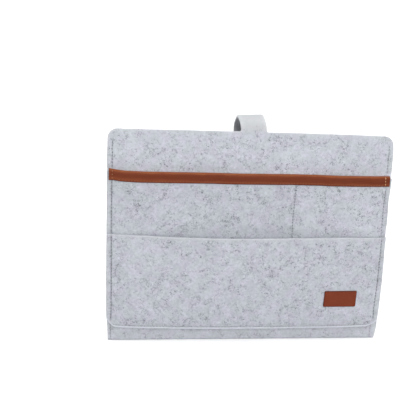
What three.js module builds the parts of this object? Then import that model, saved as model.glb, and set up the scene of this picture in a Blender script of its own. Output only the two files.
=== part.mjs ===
import * as THREE from 'three';

// A felt bedside caddy: two felt sheets sewn together at their sides form a flat sleeve, with two
// rows of pockets sewn on its front, a closing strap over its mouth and a flap for under a mattress.
// Sizes are millimetres. X runs along the width, the front faces -Y and Z is up. The origin is the
// middle of the front sheet's lower edge, on the surface that the caddy stands on.

// Materials' thicknesses, and the clearance that is left between pieces that touch
const FELT_THICKNESS = 3;
const LEATHER_THICKNESS = 1.2;
const TAPE_THICKNESS = 1.4;
const TOUCH_GAP = 0.3;

// Front sheet, with rounded top corners and sides that draw in a little near the floor
const PANEL_WIDTH = 330;
const PANEL_HEIGHT = 250;
const TOP_CORNER_RADIUS = 11;
const FOOT_INSET = 3;
const FOOT_HEIGHT = 42;
const FOOT_POWER = 1.5;
const SIDE_SEAM_INSET = 6;

// Back sheet, a little lower than the front one, and the fold at its foot
const BACK_DROP = 6;
const SLEEVE_CROWN = 7;
const SLEEVE_PEAK_SHARE = 0.5;
const SLEEVE_FULLNESS = 1.7;
const FOLD_RADIUS = 3;
const SHOULDER_HEIGHT = 7;

// Flap that goes under the mattress
const FLAP_WIDTH = 286;
const FLAP_LENGTH = 146;
const FLAP_CORNER_RADIUS = 30;

// Pockets: both sheets end at one lower edge, and the upper sheet is divided by a seam
const POCKET_BOTTOM = 19;
const POCKET_BOW = 1.8;
const POCKET_CORNER_RADIUS = 19;
const BOTTOM_SEAM_INSET = 3;
const LOWER_POCKET_TOP = 131.2;
const LOWER_CROWN = 8.8;
const LOWER_PEAK_SHARE = 0.53;
const LOWER_FULLNESS = 3.2;
const DIVIDER_X = 50.5;
const LEFT_CROWN = 6.8;
const LEFT_PEAK_SHARE = 0.38;
const LEFT_FULLNESS = 1.3;
const RIGHT_CROWN = 5.4;
const RIGHT_PEAK_SHARE = 0.62;
const RIGHT_FULLNESS = 1.3;
const POCKET_RISE_POWER = 2.2;
const LEAN_SHARE = 0.04;

// Leather binding over the upper pockets' edge, and the plain leather patch
const BAND_TOP = 204.7;
const BAND_HEIGHT = 11.6;
const BAND_END_INSET = 1;
const BAND_RAMP = 30;
const PATCH_WIDTH = 39;
const PATCH_HEIGHT = 19.5;
const PATCH_CORNER_RADIUS = 1.5;
const PATCH_SIDE_MARGIN = 32;
const PATCH_BOTTOM = 45;

// Strap: a loop over the sleeve's mouth and a tail that closes on the back with two tapes
const STRAP_X = -2;
const STRAP_WIDTH = 30;
const LOOP_DEPTH = 47;
const LOOP_RISE = 15.5;
const TAIL_DROP = 42;
const TAIL_LENGTH = 42;
const TAIL_CORNER_RADIUS = 6;
const TAPE_WIDTH = 25;
const TAPE_LENGTH = 34;

// Numbers of steps, and the handles of the strap's curves as shares of their spans
const CORNER_STEPS = 6;
const FOOT_STEPS = 4;
const CROWN_ROWS = 8;
const LEFT_COLUMNS = 14;
const RIGHT_COLUMNS = 8;
const LOWER_LEFT_COLUMNS = 12;
const LOWER_RIGHT_COLUMNS = 7;
const BAND_LEG_ROWS = 2;
const PATCH_COLUMNS = 4;
const SLEEVE_COLUMNS = 14;
const FOLD_STEPS = 5;
const NOSE_STEPS = 4;
const LOOP_ROWS = 30;
const TAPE_ROWS = 2;
const TAPE_COLUMNS = 2;
const LOOP_HANDLE_SHARE = 0.42;
const DROP_HANDLE_SHARE = 0.45;

const HALF_FELT = FELT_THICKNESS / 2;
const SEAM_X = PANEL_WIDTH / 2 - SIDE_SEAM_INSET;
const BACK_HEIGHT = PANEL_HEIGHT - BACK_DROP;
const BAND_FOLD_RADIUS = HALF_FELT + TOUCH_GAP + LEATHER_THICKNESS / 2;
const UPPER_POCKET_TOP = BAND_TOP - BAND_FOLD_RADIUS - LEATHER_THICKNESS / 2;
const BAND_BOTTOM = BAND_TOP - BAND_HEIGHT;
const PATCH_X = PANEL_WIDTH / 2 - PATCH_SIDE_MARGIN - PATCH_WIDTH / 2;
const FRONT = new THREE.Vector3(0, -1, 0);

// A run of evenly spaced values from one end to the other, both ends included
function steps(from, to, count) {
  return Array.from({ length: count + 1 }, (_, k) => from + ((to - from) * k) / count);
}

// The same, drawn together at both ends, where a crown turns most
function easedSteps(from, to, count) {
  return steps(0, Math.PI, count).map((angle) => from + ((to - from) * (1 - Math.cos(angle))) / 2);
}

// Rows of a quarter-round corner, from the edge that it ends on inwards
function cornerRows(edge, radius, direction) {
  return steps(0, Math.PI / 2, CORNER_STEPS).map(
    (angle) => edge + direction * radius * (1 - Math.cos(angle)),
  );
}

function sortedRows(...lists) {
  return [...new Set(lists.flat())].sort((a, b) => a - b);
}

// How far a rounded corner cuts in at a distance from its edge
function cornerInset(distance, height, width) {
  const share = Math.min(1, Math.max(0, 1 - distance / height));
  return width * (1 - Math.sqrt(1 - share ** 2));
}

// Half the width of the sewn body at a height
function bodyHalfWidth(z) {
  const share = Math.max(0, 1 - z / FOOT_HEIGHT);
  return PANEL_WIDTH / 2 - FOOT_INSET * share ** FOOT_POWER;
}

// A crown from 0 at both seams to 1 at its peak
function crown(x, left, right, peakShare, fullness) {
  const u = Math.min(1, Math.max(0, (x - left) / (right - left)));
  const rising = (u / peakShare) ** (fullness * peakShare);
  return rising * ((1 - u) / (1 - peakShare)) ** (fullness * (1 - peakShare));
}

// How a pocket opens with height, from 0 at its bottom seam to 1 at its mouth
function rise(z, bottom, top) {
  const share = Math.min(1, Math.max(0, (z - bottom) / (top - bottom)));
  return 1 - (1 - share) ** POCKET_RISE_POWER;
}

function smooth(share) {
  const t = Math.min(1, Math.max(0, share));
  return t * t * (3 - 2 * t);
}

function upperCrown(x, z) {
  const opened = rise(z, POCKET_BOTTOM + BOTTOM_SEAM_INSET, UPPER_POCKET_TOP);
  if (x < DIVIDER_X) {
    return opened * LEFT_CROWN * crown(x, -SEAM_X, DIVIDER_X, LEFT_PEAK_SHARE, LEFT_FULLNESS);
  }
  return opened * RIGHT_CROWN * crown(x, DIVIDER_X, SEAM_X, RIGHT_PEAK_SHARE, RIGHT_FULLNESS);
}

function lowerCrown(x, z) {
  const opened = rise(z, POCKET_BOTTOM + BOTTOM_SEAM_INSET, LOWER_POCKET_TOP);
  return opened * LOWER_CROWN * crown(x, -SEAM_X, SEAM_X, LOWER_PEAK_SHARE, LOWER_FULLNESS);
}

// The pockets' lower edge bows down between its ends, and the bow fades out towards the mouth
function pocketBow(x, z) {
  const across = 1 - Math.min(1, Math.abs(x) / SEAM_X) ** 2;
  const share = Math.min(1, Math.max(0, (z - POCKET_BOTTOM) / (LOWER_POCKET_TOP - POCKET_BOTTOM)));
  return POCKET_BOW * across * (1 - share) ** 2;
}

// Mid-surface of the upper pocket sheet, which stands off near its mouth for the band's inner leg
function upperPocketPoint(x, z) {
  const standOff = (LEATHER_THICKNESS + TOUCH_GAP) * smooth(1 - (BAND_BOTTOM - z) / BAND_RAMP);
  const forward = upperCrown(x, z);
  const y = -(FELT_THICKNESS + TOUCH_GAP) - standOff - forward;
  return new THREE.Vector3(x, y, z - LEAN_SHARE * forward - pocketBow(x, z));
}

function lowerPocketPoint(x, z) {
  const point = upperPocketPoint(x, z);
  const forward = lowerCrown(x, z);
  point.y -= FELT_THICKNESS + TOUCH_GAP + forward;
  point.z -= LEAN_SHARE * forward;
  return point;
}

function backPanelPoint(x, z) {
  const opened = rise(z, 2 * FOLD_RADIUS + SHOULDER_HEIGHT, BACK_HEIGHT);
  const backward = opened * SLEEVE_CROWN * crown(x, -SEAM_X, SEAM_X, SLEEVE_PEAK_SHARE, SLEEVE_FULLNESS);
  return new THREE.Vector3(x, FELT_THICKNESS + TOUCH_GAP + backward, z);
}

// A closed sheet over a grid. place(column, row) gives the middle of the sheet, the direction of
// its face and, where it isn't the usual one, its thickness there. The face is on the side from
// which the columns run to the right while the rows run up.
function sheetGeometry(columns, rows, thickness, place) {
  const positions = [];
  for (const side of [1, -1]) {
    for (const row of rows) {
      for (const column of columns) {
        const { at, out, thick = thickness } = place(column, row);
        at.addScaledVector(out, (side * thick) / 2);
        positions.push(at.x, at.y, at.z);
      }
    }
  }
  const across = columns.length;
  const layer = across * rows.length;
  const corner = (column, row) => row * across + column;
  const index = [];
  for (let row = 0; row + 1 < rows.length; row += 1) {
    for (let column = 0; column + 1 < across; column += 1) {
      const a = corner(column, row);
      const b = corner(column + 1, row);
      const c = corner(column + 1, row + 1);
      const d = corner(column, row + 1);
      index.push(a, b, c, a, c, d);
      index.push(layer + a, layer + c, layer + b, layer + a, layer + d, layer + c);
    }
  }
  const lastColumn = across - 1;
  const lastRow = rows.length - 1;
  const rim = [];
  for (let column = 0; column < lastColumn; column += 1) {
    rim.push([corner(column, 0), corner(column + 1, 0)]);
    rim.push([corner(column + 1, lastRow), corner(column, lastRow)]);
  }
  for (let row = 0; row < lastRow; row += 1) {
    rim.push([corner(lastColumn, row), corner(lastColumn, row + 1)]);
    rim.push([corner(0, row + 1), corner(0, row)]);
  }
  for (const [from, to] of rim) {
    index.push(from, layer + from, layer + to, from, layer + to, to);
  }
  const geometry = new THREE.BufferGeometry();
  geometry.setAttribute('position', new THREE.Float32BufferAttribute(positions, 3));
  geometry.setIndex(index);
  geometry.computeVertexNormals();
  return geometry;
}

function material(color, roughness) {
  return new THREE.MeshStandardMaterial({ color, roughness, metalness: 0, side: THREE.FrontSide });
}

function feltMaterial() {
  return material(0xc8cbd2, 0.95);
}

function leatherMaterial(color) {
  return material(color, 0.5);
}

function tapeMaterial() {
  return material(0xb9bcc2, 0.9);
}

const group = new THREE.Group();

function add(name, geometry, finish) {
  const mesh = new THREE.Mesh(geometry, finish);
  mesh.name = name;
  group.add(mesh);
}

// Columns as shares of the width, with one on each seam
function columnShares(...stretches) {
  const share = (x) => x / PANEL_WIDTH + 0.5;
  const inner = stretches.flatMap(([from, to, count]) => easedSteps(share(from), share(to), count));
  return sortedRows([0, 1], inner);
}

const footRows = steps(0, FOOT_HEIGHT, FOOT_STEPS);

// Front sheet of the sleeve
function frontPanel() {
  const top = cornerRows(PANEL_HEIGHT, TOP_CORNER_RADIUS, -1);
  return sheetGeometry([0, 1], sortedRows(footRows, top), FELT_THICKNESS, (column, z) => {
    const inset = cornerInset(PANEL_HEIGHT - z, TOP_CORNER_RADIUS, TOP_CORNER_RADIUS);
    const x = (2 * column - 1) * (bodyHalfWidth(z) - inset);
    return { at: new THREE.Vector3(x, 0, z), out: FRONT };
  });
}

// Back sheet: upright and crowned, drawn in at its shoulders to the flap's width, and folded
// under at its foot. Its rows go from the fold's end up to the top edge.
function backPanel() {
  const foldTop = FOLD_RADIUS + HALF_FELT;
  const top = cornerRows(BACK_HEIGHT, TOP_CORNER_RADIUS, -1);
  const shoulder = steps(foldTop, foldTop + SHOULDER_HEIGHT, CORNER_STEPS);
  const crowned = steps(foldTop + SHOULDER_HEIGHT, BACK_HEIGHT - TOP_CORNER_RADIUS, CROWN_ROWS);
  const fold = steps(-Math.PI / 2, 0, FOLD_STEPS).slice(0, -1).map((turn) => ({ turn, z: foldTop }));
  const upright = sortedRows(shoulder, crowned, top).map((z) => ({ turn: 0, z }));
  const columns = columnShares([-SEAM_X, SEAM_X, SLEEVE_COLUMNS]);
  return sheetGeometry(columns, [...fold, ...upright], FELT_THICKNESS, (column, { turn, z }) => {
    const shoulderWidth = bodyHalfWidth(foldTop) - FLAP_WIDTH / 2;
    const inset = cornerInset(BACK_HEIGHT - z, TOP_CORNER_RADIUS, TOP_CORNER_RADIUS)
      + cornerInset(z - foldTop, SHOULDER_HEIGHT, shoulderWidth);
    const at = backPanelPoint((2 * column - 1) * (bodyHalfWidth(z) - inset), z);
    at.y += FOLD_RADIUS * (1 - Math.cos(turn));
    at.z += FOLD_RADIUS * Math.sin(turn);
    return { at, out: new THREE.Vector3(0, -Math.cos(turn), Math.sin(turn)) };
  });
}

// Flap, with a round nose at the crease so that it turns there, and rounded far corners
function mattressFlap() {
  const creaseY = FELT_THICKNESS + TOUCH_GAP + FOLD_RADIUS + TOUCH_GAP;
  const endY = creaseY + FLAP_LENGTH;
  const nose = steps(0, Math.PI / 2, NOSE_STEPS).slice(1).map(
    (angle) => creaseY + HALF_FELT * (1 - Math.cos(angle)),
  );
  const rows = sortedRows(nose, cornerRows(endY, FLAP_CORNER_RADIUS, -1));
  return sheetGeometry([0, 1], rows, FELT_THICKNESS, (column, y) => {
    const halfWidth = FLAP_WIDTH / 2 - cornerInset(endY - y, FLAP_CORNER_RADIUS, FLAP_CORNER_RADIUS);
    const thick = FELT_THICKNESS - 2 * cornerInset(y - creaseY, HALF_FELT, HALF_FELT);
    const at = new THREE.Vector3((2 * column - 1) * halfWidth, y, HALF_FELT);
    return { at, out: new THREE.Vector3(0, 0, 1), thick };
  });
}

// A pocket sheet with rounded bottom corners, over the body's full width
function pocketSheet(columns, top, point) {
  const corner = cornerRows(POCKET_BOTTOM, POCKET_CORNER_RADIUS, 1);
  const upright = steps(POCKET_BOTTOM + POCKET_CORNER_RADIUS, top, CROWN_ROWS);
  return sheetGeometry(columns, sortedRows(corner, upright), FELT_THICKNESS, (column, z) => {
    const inset = cornerInset(z - POCKET_BOTTOM, POCKET_CORNER_RADIUS, POCKET_CORNER_RADIUS);
    return { at: point((2 * column - 1) * (bodyHalfWidth(z) - inset), z), out: FRONT };
  });
}

const upperColumns = columnShares(
  [-SEAM_X, DIVIDER_X, LEFT_COLUMNS],
  [DIVIDER_X, SEAM_X, RIGHT_COLUMNS],
);
const lowerColumns = columnShares(
  [-SEAM_X, DIVIDER_X, LOWER_LEFT_COLUMNS],
  [DIVIDER_X, SEAM_X, LOWER_RIGHT_COLUMNS],
);

// Leather binding, folded over the upper pocket sheet's edge: its rows go up the front, over the
// edge and down behind
function pocketBand() {
  const legs = steps(BAND_BOTTOM, UPPER_POCKET_TOP, BAND_LEG_ROWS);
  const front = legs.slice(0, -1).map((z) => ({ z, turn: 0 }));
  const fold = steps(0, Math.PI, 2 * FOLD_STEPS).map((turn) => ({ z: UPPER_POCKET_TOP, turn }));
  const back = legs.slice(0, -1).reverse().map((z) => ({ z, turn: Math.PI }));
  const halfLength = PANEL_WIDTH / 2 - BAND_END_INSET;
  const rows = [...front, ...fold, ...back];
  return sheetGeometry(upperColumns, rows, LEATHER_THICKNESS, (column, { z, turn }) => {
    const x = Math.max(-halfLength, Math.min(halfLength, (column - 0.5) * PANEL_WIDTH));
    const out = new THREE.Vector3(0, -Math.cos(turn), Math.sin(turn));
    return { at: upperPocketPoint(x, z).addScaledVector(out, BAND_FOLD_RADIUS), out };
  });
}

// Plain leather patch, sewn flat on the lower pocket
function leatherPatch() {
  const high = PATCH_BOTTOM + PATCH_HEIGHT;
  const rows = sortedRows(
    cornerRows(PATCH_BOTTOM, PATCH_CORNER_RADIUS, 1),
    cornerRows(high, PATCH_CORNER_RADIUS, -1),
  );
  return sheetGeometry(steps(0, 1, PATCH_COLUMNS), rows, LEATHER_THICKNESS, (column, z) => {
    const distance = Math.min(z - PATCH_BOTTOM, high - z);
    const inset = cornerInset(distance, PATCH_CORNER_RADIUS, PATCH_CORNER_RADIUS);
    const at = lowerPocketPoint(PATCH_X + (2 * column - 1) * (PATCH_WIDTH / 2 - inset), z);
    at.y -= HALF_FELT + TOUCH_GAP + LEATHER_THICKNESS / 2;
    return { at, out: FRONT };
  });
}

// Fastening on the back: the loop tape on the back sheet, the hook tape on the strap's tail and
// the tail itself lie on each other, and each follows the sheet below it
const LOOP_TAPE_OFFSET = HALF_FELT + TOUCH_GAP + TAPE_THICKNESS / 2;
const HOOK_TAPE_OFFSET = LOOP_TAPE_OFFSET + TAPE_THICKNESS + TOUCH_GAP;
const TAIL_OFFSET = HOOK_TAPE_OFFSET + TAPE_THICKNESS / 2 + TOUCH_GAP + HALF_FELT;
const TAIL_TOP = PANEL_HEIGHT - TAIL_DROP;
const TAIL_BOTTOM = TAIL_TOP - TAIL_LENGTH;

function behindBack(offset, x, z) {
  const at = backPanelPoint(x, z);
  at.y += offset;
  return { at, out: FRONT };
}

function fasteningTape(offset) {
  const middle = (TAIL_TOP + TAIL_BOTTOM) / 2;
  const rows = steps(middle - TAPE_LENGTH / 2, middle + TAPE_LENGTH / 2, TAPE_ROWS);
  return sheetGeometry(steps(0, 1, TAPE_COLUMNS), rows, TAPE_THICKNESS, (column, z) =>
    behindBack(offset, STRAP_X + (column - 0.5) * TAPE_WIDTH, z),
  );
}

function strapTail() {
  const corner = cornerRows(TAIL_BOTTOM, TAIL_CORNER_RADIUS, 1);
  const upright = steps(TAIL_BOTTOM + TAIL_CORNER_RADIUS, TAIL_TOP, TAPE_ROWS);
  const columns = steps(0, 1, TAPE_COLUMNS);
  return sheetGeometry(columns, sortedRows(corner, upright), FELT_THICKNESS, (column, z) => {
    const inset = cornerInset(z - TAIL_BOTTOM, TAIL_CORNER_RADIUS, TAIL_CORNER_RADIUS);
    return behindBack(TAIL_OFFSET, STRAP_X + (2 * column - 1) * (STRAP_WIDTH / 2 - inset), z);
  });
}

// The strap's route in the plane of depth and height: up from the front sheet's top edge, back
// over the mouth as half an ellipse, and down in a long bend to the tail
function strapRoute() {
  const root = new THREE.Vector2(0, PANEL_HEIGHT + TOUCH_GAP);
  const apex = new THREE.Vector2(LOOP_DEPTH / 2, PANEL_HEIGHT + LOOP_RISE);
  const rear = new THREE.Vector2(LOOP_DEPTH, PANEL_HEIGHT);
  const end = new THREE.Vector2(behindBack(TAIL_OFFSET, STRAP_X, TAIL_TOP).at.y, TAIL_TOP + TOUCH_GAP);
  const up = new THREE.Vector2(0, LOOP_HANDLE_SHARE * LOOP_RISE);
  const along = new THREE.Vector2((LOOP_HANDLE_SHARE * LOOP_DEPTH) / 2, 0);
  const down = new THREE.Vector2(0, DROP_HANDLE_SHARE * (rear.y - end.y));
  const route = new THREE.CurvePath();
  const curve = (a, b, c, d) => route.add(new THREE.CubicBezierCurve(a, b, c, d));
  curve(root, root.clone().add(up), apex.clone().sub(along), apex);
  curve(apex, apex.clone().add(along), rear.clone().add(up), rear);
  curve(rear, rear.clone().sub(down), end.clone().add(down), end);
  return route;
}

function strapLoop() {
  const route = strapRoute();
  return sheetGeometry([0, 1], steps(0, 1, LOOP_ROWS), FELT_THICKNESS, (column, row) => {
    const point = route.getPointAt(row);
    const tangent = route.getTangentAt(row);
    const x = STRAP_X + (column - 0.5) * STRAP_WIDTH;
    const at = new THREE.Vector3(x, point.x, point.y);
    return { at, out: new THREE.Vector3(0, -tangent.y, tangent.x) };
  });
}

add('front_panel', frontPanel(), feltMaterial());
add('back_panel', backPanel(), feltMaterial());
add('mattress_flap', mattressFlap(), feltMaterial());
add('upper_pocket', pocketSheet(upperColumns, UPPER_POCKET_TOP, upperPocketPoint), feltMaterial());
add('lower_pocket', pocketSheet(lowerColumns, LOWER_POCKET_TOP, lowerPocketPoint), feltMaterial());
add('pocket_band', pocketBand(), leatherMaterial(0x8a4a2e));
add('leather_patch', leatherPatch(), leatherMaterial(0x7e3e2a));
add('loop_tape', fasteningTape(LOOP_TAPE_OFFSET), tapeMaterial());
add('hook_tape', fasteningTape(HOOK_TAPE_OFFSET), tapeMaterial());
add('strap_loop', strapLoop(), feltMaterial());
add('strap_tail', strapTail(), feltMaterial());

export default group;
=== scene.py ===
"""Looks of a felt bedside caddy: heathered felt sheets with fuzzy cut edges, sewn seams, a leather
bound pocket edge, a plain leather patch, hook-and-loop tapes and a strap arched over the mouth.
Lengths in this file are millimetres until a mesh is made, and the meshes are metres."""

from functools import partialmethod
from math import ceil, cos, pi, radians, sin, sqrt

import bpy
import numpy as np
from mathutils import Matrix, Vector
from mathutils.geometry import delaunay_2d_cdt


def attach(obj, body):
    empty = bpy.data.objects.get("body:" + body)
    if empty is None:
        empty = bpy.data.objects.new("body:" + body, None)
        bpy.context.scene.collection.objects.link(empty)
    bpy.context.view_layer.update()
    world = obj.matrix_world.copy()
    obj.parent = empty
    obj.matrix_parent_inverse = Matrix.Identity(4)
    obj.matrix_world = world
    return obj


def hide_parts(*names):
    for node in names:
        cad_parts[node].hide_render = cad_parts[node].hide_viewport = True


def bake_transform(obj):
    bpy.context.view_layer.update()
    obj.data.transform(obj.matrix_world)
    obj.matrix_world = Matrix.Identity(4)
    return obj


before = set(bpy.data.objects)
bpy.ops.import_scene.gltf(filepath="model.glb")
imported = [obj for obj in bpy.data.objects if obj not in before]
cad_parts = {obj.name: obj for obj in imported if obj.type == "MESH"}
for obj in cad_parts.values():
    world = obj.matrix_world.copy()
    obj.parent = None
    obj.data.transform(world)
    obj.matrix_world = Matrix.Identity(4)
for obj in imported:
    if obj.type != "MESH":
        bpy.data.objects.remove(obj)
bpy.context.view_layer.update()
MM = 0.001
join = np.concatenate

# ---- sizes ----
# They are the part's own, but the crowns, the corners, the band's top and the patch follow the
# photograph a little more closely.
FELT = 3.0
FUZZ = 0.22  # what raised fibres add to the thickness
GAP = 0.3
LEATHER = 1.2
TAPE = 1.4
PANEL_W, PANEL_H = 330.0, 250.0
TOP_RADIUS = 11.2
FOOT_INSET, FOOT_H, FOOT_POWER = 3.0, 42.0, 1.5  # the sides draw in towards the foot
SEAM_X = PANEL_W / 2 - 6.0
BACK_H, BACK_INSET = PANEL_H - 6.0, 0.4
FOLD_RADIUS, SHOULDER_H = 3.0, 7.0
FLAP_W, FLAP_L, FLAP_RADIUS = 286.0, 146.0, 30.0
HEM_Z, POCKET_BOW, HEM_SEAM = 19.0, 1.8, 3.0
CORNERS = {-1: (12.5, 10.6, 2.0), 1: (16.5, 8.0, 2.1)}  # of the pockets: reach in and up, power
LOWER_TOP = 131.2
DIVIDER_X = 50.5
# Crowns of the open mouths: height, the share of the width where it peaks, fullness
SLEEVE, LOWER = (7.0, 0.5, 1.7), (7.0, 0.53, 3.2)
LEFT, RIGHT = (2.6, 0.38, 2.6), (2.2, 0.62, 2.6)
RISE_POWER, LEAN = 2.2, 0.04
BAND_TOP, BAND_H, BAND_INSET, BAND_RAMP = 204.95, 11.6, 1.0, 30.0
BAND_LIP = 0.65  # the strip's cut edge hangs this much lower
PATCH_W, PATCH_H, PATCH_RADIUS = 40.4, 18.9, 1.3
PATCH_X, PATCH_Z, PATCH_TILT = 113.9, 55.3, radians(-0.8)
STRAP_X, STRAP_W = -2.0, 30.0
LOOP_DEPTH, LOOP_RISE, STRAP_TWIST = 47.0, 15.5, radians(13)
TAIL_DROP, TAIL_L, TAIL_RADIUS = 42.0, 42.0, 6.0
TAPE_W, TAPE_L = 25.0, 34.0
LOOP_HANDLE, DROP_HANDLE = 0.42, 0.45  # how full the strap's curves are
ROUTE_STEPS = 60

THICK = FELT + FUZZ
BASE = FOLD_RADIUS + FELT / 2
SEAM_START = HEM_Z + 10
BAND_R = FELT / 2 + GAP + LEATHER / 2
UPPER_TOP = BAND_TOP - BAND_R - LEATHER / 2
BAND_BOTTOM = BAND_TOP - BAND_H - BAND_LIP
BAND_LOW_X, BAND_HIGH_X = -PANEL_W / 2 + BAND_INSET - 0.7, PANEL_W / 2 - BAND_INSET - 1.4
LOOP_OFF = FELT / 2 + GAP + TAPE / 2
HOOK_OFF = LOOP_OFF + TAPE + GAP
TAIL_OFF = HOOK_OFF + TAPE / 2 + GAP + FELT / 2
TAIL_TOP = PANEL_H - TAIL_DROP
TAIL_BOTTOM = TAIL_TOP - TAIL_L
STRAP_LO, STRAP_HI = STRAP_X - STRAP_W / 2, STRAP_X + STRAP_W / 2

# Hand-cut edges and low waves: places along an edge, and how far the edge departs there
SIDE_CUT = {
    -1: ([0, 20, 40, 55, 65, 93, 122, 150, 179, 205, 250],
         [-0.8, -1.4, -0.4, -0.6, -0.1, 0.4, 0.7, 0.95, 1.35, 2.0, 2.0]),
    0: ([0], [0]),
    1: ([0, 36, 65, 93, 122, 150, 180, 200, 222, 250],
        [0.25, 0.4, 0.85, 0.6, -0.2, 0.8, -0.55, 0.8, 1.15, 0.0]),
}
FOOT_RIGHT = ([0, 3, 8, 14, 20, 28, 40], [2.4, 3.0, 3.0, 3.3, 3.1, 1.6, 0.0])
TOP_WAVE = (
    [-165, -140, -115, -90, -60, -34, 0, 25, 51, 80, 107, 135, 165],
    [0.5, 0.3, 0.45, 0.65, 0.75, 1.0, 1.02, 1.07, 1.3, 1.05, 1.1, 0.9, 0.5],
)
BAND_WAVE = (
    [-160, -153, -146, -136, -127, -108, -89, -70, -52, -33, -14,
     24, 46, 55, 63, 72, 86, 100, 120, 138, 148, 157],
    [0.5, -0.5, -1.05, -1.23, -1.33, -1.17, -0.97, -0.9, -0.81, -1.04, -1.23,
     -1.12, -0.9, -0.98, -0.88, -0.8, -0.95, -1.05, -0.96, -0.81, -0.89, -0.73],
)
LOWER_WAVE = (
    [-160, -152, -125, -106, -87, -50, -12, 8, 27, 40,
     50.5, 65, 84, 103, 122, 142, 154, 160, 165],
    [-0.29, -0.65, -0.61, -1.04, -1.49, -1.52, -1.67, -1.57, -1.4, -1.15,
     -0.89, -1.1, -0.6, -0.27, -0.09, -0.99, -1.39, -0.88, -0.88],
)
HEM_SAG = (
    [-150, -137, -118, -94, -71, 0, 108, 130, 150],
    [0.9, 1.4, 1.8, 1.95, 2.4, 2.4, 2.4, 2.3, 1.9],
)
# The side seams' distance from the middle, by height
SEAM_DRIFT = {
    -1: ([0, 22, 45, 95, 140, 210, 240], [158.4, 158.8, 158.7, 159.6, 160.6, 161.2, 161.2]),
    1: ([0, 40, 70, 105, 150, 180, 208, 240],
        [159.2, 158.8, 159.7, 160.0, 159.3, 158.7, 160.2, 160.3]),
}
SIDES = ((-1, "left"), (1, "right"))

# Rim of a cut sheet: how far in, and the share of half the thickness there
FELT_RIM = [(0.0, 0.66), (0.35, 0.88), (0.9, 0.97), (1.7, 1.0)]
LEATHER_RIM = [(0.0, 0.55), (0.2, 0.85), (0.6, 1.0)]
# The cut edge's paler middle is partly worn felt and partly a painted highlight.
BULGE, RIM_WEAR_AND_HIGHLIGHT = 0.12, 1.25  # of the cut edge's middle, and what the material reads there
# A seam's darkness is partly pressed felt and partly painted shade of its groove.
DENT_W, DARK_W = 1.1, 0.8  # how wide a seam dents its sheet, and how wide it is dark
REAR_V = 900  # the rear faces take their mottling from this far away


# ---- camera ----
def add_object(name, data):
    obj = bpy.data.objects.new(name, data)
    bpy.context.scene.collection.objects.link(obj)
    return obj


def place_camera():
    """The photograph's viewpoint, fitted to the caddy's edges."""
    focal, photo_px, sensor = 800.0, 420.0, 36.0
    yaw, pitch, roll = radians(9.0), radians(13.563), radians(-3.021)
    shift = np.array([39.135, 155.01, 966.565])
    cy, sy, cp, sp, cr, sr = (f(a) for a in (yaw, pitch, roll) for f in (cos, sin))
    forward = np.array([sy * cp, cy * cp, -sp])
    right = np.array([cy, -sy, 0.0])
    down = np.cross(forward, right)
    right, down = cr * right + sr * down, -sr * right + cr * down
    rows = np.stack([right, down, forward])
    where = -rows.T @ shift * MM
    data = bpy.data.cameras.new("camera")
    data.sensor_width = sensor
    data.lens = focal / photo_px * sensor
    data.clip_start, data.clip_end = 0.02, 30.0
    camera = add_object("camera", data)
    turn = Matrix((tuple(right), tuple(-down), tuple(-forward))).transposed()
    camera.matrix_world = Matrix.Translation(Vector(where)) @ turn.to_4x4()
    bpy.context.scene.camera = camera


# ---- small forms ----
def smooth(t):
    """0 below 0, 1 above 1, and a soft step between."""
    t = np.clip(t, 0.0, 1.0)
    return t * t * (3 - 2 * t)


def bell(away, width):
    """1 where away is 0, and fading on both sides."""
    return np.exp(-((away / width) ** 2))


def stack(x, y, z):
    x, y, z = np.broadcast_arrays(x, y, z)
    return np.stack([x, y, z], axis=1).astype(float)


def walk(line):
    """How far along a line each of its points lies."""
    return join([[0.0], np.cumsum(np.linalg.norm(np.diff(line, axis=0), axis=1))])


def unit(vectors):
    return vectors / np.maximum(1e-12, np.linalg.norm(vectors, axis=1))[:, None]


def crown(x, left, right, form):
    """How far a sheet stands off between two seams."""
    height, peak, full = form
    u = np.clip((x - left) / (right - left), 0.0, 1.0)
    return height * (u / peak) ** (full * peak) * ((1 - u) / (1 - peak)) ** (full * (1 - peak))


def rise(z, bottom, top):
    """The share of its crown that a sheet has reached at a height."""
    return 1 - (1 - np.clip((z - bottom) / (top - bottom), 0.0, 1.0)) ** RISE_POWER


def half_width(z, sign=0, strip=False):
    """Half the body's width, with the hand-cut edge of a side, and of the strip at its right."""
    half = PANEL_W / 2 - FOOT_INSET * np.maximum(0.0, 1 - z / FOOT_H) ** FOOT_POWER
    half = half + np.interp(z, *SIDE_CUT[sign])
    return half + np.interp(z, *FOOT_RIGHT) if strip else half


def pocket_bow(x, z):
    """How far the pockets sag in the middle of their lower edge."""
    across = 1 - np.minimum(1.0, abs(x) / SEAM_X) ** 2
    share = np.clip((z - HEM_Z) / (LOWER_TOP - HEM_Z), 0.0, 1.0)
    return POCKET_BOW * across * (1 - share) ** 2


def ripple(u, v, seed, amount):
    """A low unevenness of pressed felt, from a few long waves."""
    waves = 7
    rng = np.random.default_rng(seed)
    total = np.zeros_like(u)
    for _ in range(waves):
        length = rng.uniform(38, 120)
        angle = rng.uniform(0, pi)
        phase = rng.uniform(0, 2 * pi)
        total += np.sin((u * cos(angle) + v * sin(angle)) * 2 * pi / length + phase)
    return amount * total / waves ** 0.5


def pressed(z):
    """The share of a pocket sheet's thickness that is pressed out of it near its lower edge."""
    return 0.27 * bell(np.maximum(0.0, z - HEM_Z - 1), 5)


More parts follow.
